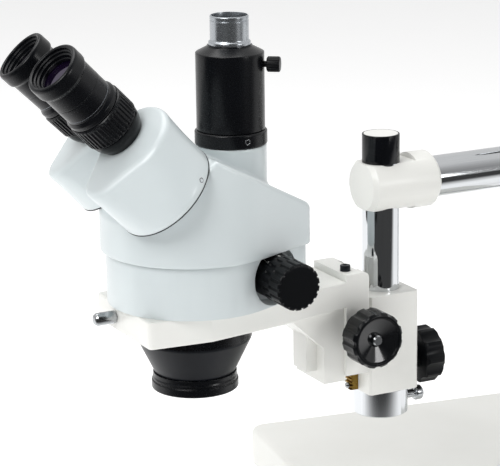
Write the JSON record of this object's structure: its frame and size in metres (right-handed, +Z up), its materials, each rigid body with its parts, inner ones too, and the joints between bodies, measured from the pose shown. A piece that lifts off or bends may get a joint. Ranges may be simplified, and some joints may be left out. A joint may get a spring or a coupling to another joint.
{
  "type": "stereo microscope",
  "caption": "Trinocular stereo zoom microscope on a single-arm boom stand: light grey head with black eyepieces and knobs, chrome arm and post, off-white base.",
  "frame": {"origin": "The pillar axis at table level, on the underside of the centre ring pad.", "axes": "+Z up, +X along the boom away from the user (the eyepieces point up and to -X), +Y to the left of a user looking along +X."},
  "size_m": [0.7573, 0.2855, 0.3895],
  "materials": {
    "off_white_paint": "satin off-white enamel on cast aluminium and steel",
    "head_enamel": "semi-gloss cool light grey enamel on die-cast aluminium",
    "chrome": "bright chrome plate on turned and ground steel",
    "bright_steel": "turned nickel-plated steel",
    "black_plastic": "satin black moulded plastic",
    "white_disc": "matt off-white plastic disc",
    "black_anodised": "satin black anodised aluminium",
    "eyepiece_black": "satin black anodised aluminium, finely turned",
    "satin_aluminium": "satin clear-anodised aluminium",
    "brass": "machined brass, slightly tarnished",
    "rubber": "matt black moulded rubber",
    "lens_glass": "polished optical glass with a faint violet coating"
  },
  "bodies": {
    "base": {"base_plate": "off_white_paint", "rubber_feet": "rubber", "pillar": "chrome", "pillar_cap": "black_plastic", "pillar_bolt": "bright_steel"},
    "lift_collar": {"lift_collar": "chrome"},
    "lift_collar_screw": {"lift_collar_screw": "bright_steel"},
    "boom_clamp": {"boom_clamp": "off_white_paint"},
    "pillar_clamp_knob": {"pillar_clamp_knob": "black_plastic"},
    "boom_clamp_knob": {"boom_clamp_knob": "black_plastic"},
    "boom": {"boom_arm": "chrome", "boom_end_cap": "black_plastic"},
    "tee": {"tee_block": "off_white_paint", "post": "chrome", "post_cap": "black_plastic", "post_cap_disc": "white_disc"},
    "stop_collar": {"stop_collar": "chrome"},
    "stop_collar_screw": {"stop_collar_screw": "bright_steel"},
    "focus_block": {"post_block": "off_white_paint", "focus_rack": "brass", "rack_stop_screw": "bright_steel"},
    "post_clamp_knob": {"post_clamp_knob": "black_plastic"},
    "carriage": {"focus_bracket": "off_white_paint", "bracket_screw": "black_anodised"},
    "focus_pinion": {"pinion_shaft": "bright_steel", "focus_knob_right": "black_plastic", "focus_knob_left": "black_plastic", "focus_cap_nuts": "bright_steel"},
    "head_clamp_screw": {"head_clamp_screw": "bright_steel"},
    "head": {"zoom_body": "head_enamel", "upper_body": "head_enamel", "head_spigot": "black_anodised", "objective_cone": "black_anodised", "objective_ring": "black_anodised", "objective_lenses": "lens_glass", "lens_guide_rods": "bright_steel", "photo_port_ring": "black_anodised", "photo_tube_body": "black_anodised", "beam_splitter": "lens_glass"},
    "zoom_drive": {"zoom_shaft": "bright_steel", "zoom_knob_right": "black_plastic", "zoom_knob_left": "black_plastic"},
    "low_carrier": {"low_lens_carrier": "satin_aluminium", "low_zoom_lenses": "lens_glass"},
    "high_carrier": {"high_lens_carrier": "satin_aluminium", "high_zoom_lenses": "lens_glass"},
    "right_binocular": {"right_prism_housing": "head_enamel", "right_prism": "lens_glass", "right_eyepiece_tube": "eyepiece_black"},
    "left_binocular": {"left_prism_housing": "head_enamel", "left_prism": "lens_glass", "left_eyepiece_tube": "eyepiece_black"},
    "right_diopter": {"right_diopter_ring": "eyepiece_black"},
    "left_diopter": {"left_diopter_ring": "eyepiece_black"},
    "right_eyepiece": {"right_eyepiece": "eyepiece_black", "right_eye_lens": "lens_glass"},
    "left_eyepiece": {"left_eyepiece": "eyepiece_black", "left_eye_lens": "lens_glass"},
    "photo_tube": {"photo_tube": "satin_aluminium"},
    "photo_screw": {"photo_thumbscrew": "black_anodised"}
  },
  "joints": [
    {"name": "lift_height", "type": "slide", "parent": "base", "child": "lift_collar", "axis": [0, 0, 1], "range_m": [-0.03, 0.08]},
    {"name": "lift_screw_turn", "type": "hinge", "parent": "lift_collar", "child": "lift_collar_screw", "pos_m": [-0.03, 0, 0.218], "axis": [-1, 0, 0], "range_deg": [-360, 0]},
    {"name": "boom_swing", "type": "hinge", "parent": "lift_collar", "child": "boom_clamp", "pos_m": [0, 0, 0.259], "axis": [0, 0, 1], "range_deg": [-120, 120]},
    {"name": "pillar_knob_turn", "type": "hinge", "parent": "boom_clamp", "child": "pillar_clamp_knob", "pos_m": [0.035, 0, 0.259], "axis": [1, 0, 0], "range_deg": [-360, 0]},
    {"name": "boom_knob_turn", "type": "hinge", "parent": "boom_clamp", "child": "boom_clamp_knob", "pos_m": [0, -0.068, 0.259], "axis": [0, -1, 0], "range_deg": [-360, 0]},
    {"name": "boom_reach", "type": "slide", "parent": "boom_clamp", "child": "boom", "axis": [-1, 0, 0], "range_m": [-0.085, 0.28]},
    {"name": "tee_roll", "type": "hinge", "parent": "boom", "child": "tee", "pos_m": [-0.135, -0.034, 0.259], "axis": [1, 0, 0], "range_deg": [-18, 18]},
    {"name": "stop_height", "type": "slide", "parent": "tee", "child": "stop_collar", "axis": [0, 0, 1], "range_m": [0, 0.014]},
    {"name": "stop_screw_turn", "type": "hinge", "parent": "stop_collar", "child": "stop_collar_screw", "pos_m": [-0.14, -0.034, 0.1066], "axis": [1, 0, 0], "range_deg": [-360, 0]},
    {"name": "block_swing", "type": "hinge", "parent": "stop_collar", "child": "focus_block", "pos_m": [-0.165, -0.034, 0.152], "axis": [0, 0, 1], "range_deg": [-90, 90]},
    {"name": "post_knob_turn", "type": "hinge", "parent": "focus_block", "child": "post_clamp_knob", "pos_m": [-0.135, -0.034, 0.134], "axis": [1, 0, 0], "range_deg": [-360, 0]},
    {"name": "focus_travel", "type": "slide", "parent": "focus_block", "child": "carriage", "axis": [0, 0, 1], "range_m": [-0.03, 0.013]},
    {"name": "focus_turn", "type": "hinge", "parent": "carriage", "child": "focus_pinion", "pos_m": [-0.1964, -0.034, 0.167], "axis": [0, 1, 0], "range_deg": [-270, 120]},
    {"name": "head_screw_turn", "type": "hinge", "parent": "carriage", "child": "head_clamp_screw", "pos_m": [-0.36, -0.023, 0.19245], "axis": [-1, 0, 0], "range_deg": [-360, 0]},
    {"name": "head_turn", "type": "hinge", "parent": "carriage", "child": "head", "pos_m": [-0.3064, -0.034, 0.2015], "axis": [0, 0, 1], "range_deg": [-135, 135]},
    {"name": "zoom_turn", "type": "hinge", "parent": "head", "child": "zoom_drive", "pos_m": [-0.27, -0.034, 0.221], "axis": [0, 1, 0], "range_deg": [-70, 70]},
    {"name": "low_lens_travel", "type": "slide", "parent": "head", "child": "low_carrier", "axis": [0, 0, 1], "range_m": [-0.00586, 0.00586]},
    {"name": "high_lens_travel", "type": "slide", "parent": "head", "child": "high_carrier", "axis": [0, 0, 1], "range_m": [-0.00586, 0.00586]},
    {"name": "ipd_right", "type": "hinge", "parent": "head", "child": "right_binocular", "pos_m": [-0.3481, -0.06925, 0.29016], "axis": [0.7032, 0.1045, -0.7032], "range_deg": [0, 43]},
    {"name": "ipd_left", "type": "hinge", "parent": "head", "child": "left_binocular", "pos_m": [-0.3481, 0.00125, 0.29016], "axis": [0.7032, -0.1045, -0.7032], "range_deg": [-43, 0]},
    {"name": "diopter_turn_right", "type": "hinge", "parent": "right_binocular", "child": "right_diopter", "pos_m": [-0.37555, -0.0544, 0.33147], "axis": [-0.7032, -0.1045, 0.7032], "range_deg": [-150, 150]},
    {"name": "diopter_turn_left", "type": "hinge", "parent": "left_binocular", "child": "left_diopter", "pos_m": [-0.37555, -0.0136, 0.33147], "axis": [-0.7032, 0.1045, 0.7032], "range_deg": [-150, 150]},
    {"name": "eyepiece_lift_right", "type": "slide", "parent": "right_binocular", "child": "right_eyepiece", "axis": [-0.7032, -0.1045, 0.7032], "range_m": [0, 0.025]},
    {"name": "eyepiece_lift_left", "type": "slide", "parent": "left_binocular", "child": "left_eyepiece", "axis": [-0.7032, 0.1045, 0.7032], "range_m": [0, 0.025]},
    {"name": "photo_tube_lift", "type": "slide", "parent": "head", "child": "photo_tube", "axis": [0, 0, 1], "range_m": [0, 0.02]},
    {"name": "photo_screw_turn", "type": "hinge", "parent": "head", "child": "photo_screw", "pos_m": [-0.25484, -0.05085, 0.352], "axis": [0.7986, -0.6018, 0], "range_deg": [-360, 0]}
  ],
  "couplings": [
    {"joint": "focus_turn", "follows": "focus_travel", "rad_per_m": 156.25},
    {"joint": "ipd_left", "follows": "ipd_right", "ratio": -1},
    {"joint": "zoom_turn", "follows": "low_lens_travel", "rad_per_m": 208.33},
    {"joint": "high_lens_travel", "follows": "low_lens_travel", "ratio": -1}
  ]
}
